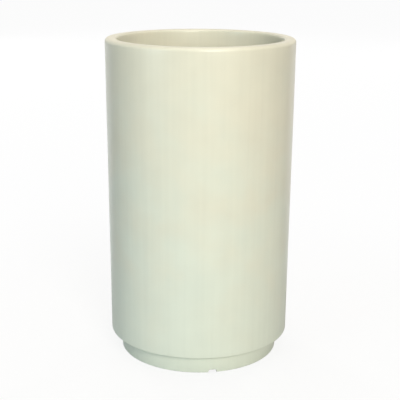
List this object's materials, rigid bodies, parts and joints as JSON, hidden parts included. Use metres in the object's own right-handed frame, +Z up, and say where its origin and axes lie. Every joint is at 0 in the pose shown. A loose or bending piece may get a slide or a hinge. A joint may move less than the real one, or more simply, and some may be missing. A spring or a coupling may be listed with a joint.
{
  "type": "tall fibreglass planter",
  "caption": "Tall round fibreglass planter: a drafted barrel with a rolled rim on a recessed plinth, with a bonded-in floor and a drain closed by a lift-out bung.",
  "frame": {"origin": "on the ground, at the middle of the plinth's foot", "axes": "+Z up along the planter's axis, -Y towards the front weep notch, +X to the right of the front"},
  "size_m": [0.356, 0.3558, 0.608],
  "materials": {
    "gelcoat_shell": "satin ivory gel coat on hand-laid glass laminate",
    "glass_laminate": "rolled chopped-strand laminate under a brushed flow coat",
    "bonding_putty": "trowelled bonding putty, left rough",
    "plywood": "bare plywood",
    "drain_plastic": "black moulded nylon",
    "drain_rubber": "black sheet rubber",
    "bung_rubber": "moulded black rubber"
  },
  "bodies": {
    "planter": {"shell": "gelcoat_shell", "floor_bedding": "bonding_putty", "floor_underskin": "glass_laminate", "floor_core": "plywood", "floor_topskin": "glass_laminate", "floor_cove": "bonding_putty", "floor_tab": "glass_laminate", "drain_body": "drain_plastic", "drain_gasket": "drain_rubber", "drain_washer": "drain_plastic", "drain_locknut": "drain_plastic"},
    "plug": {"drain_plug": "bung_rubber"}
  },
  "joints": [
    {"name": "plug_lift", "type": "slide", "parent": "planter", "child": "plug", "axis": [0, 0, 1], "range_m": [0, 0.04]}
  ]
}
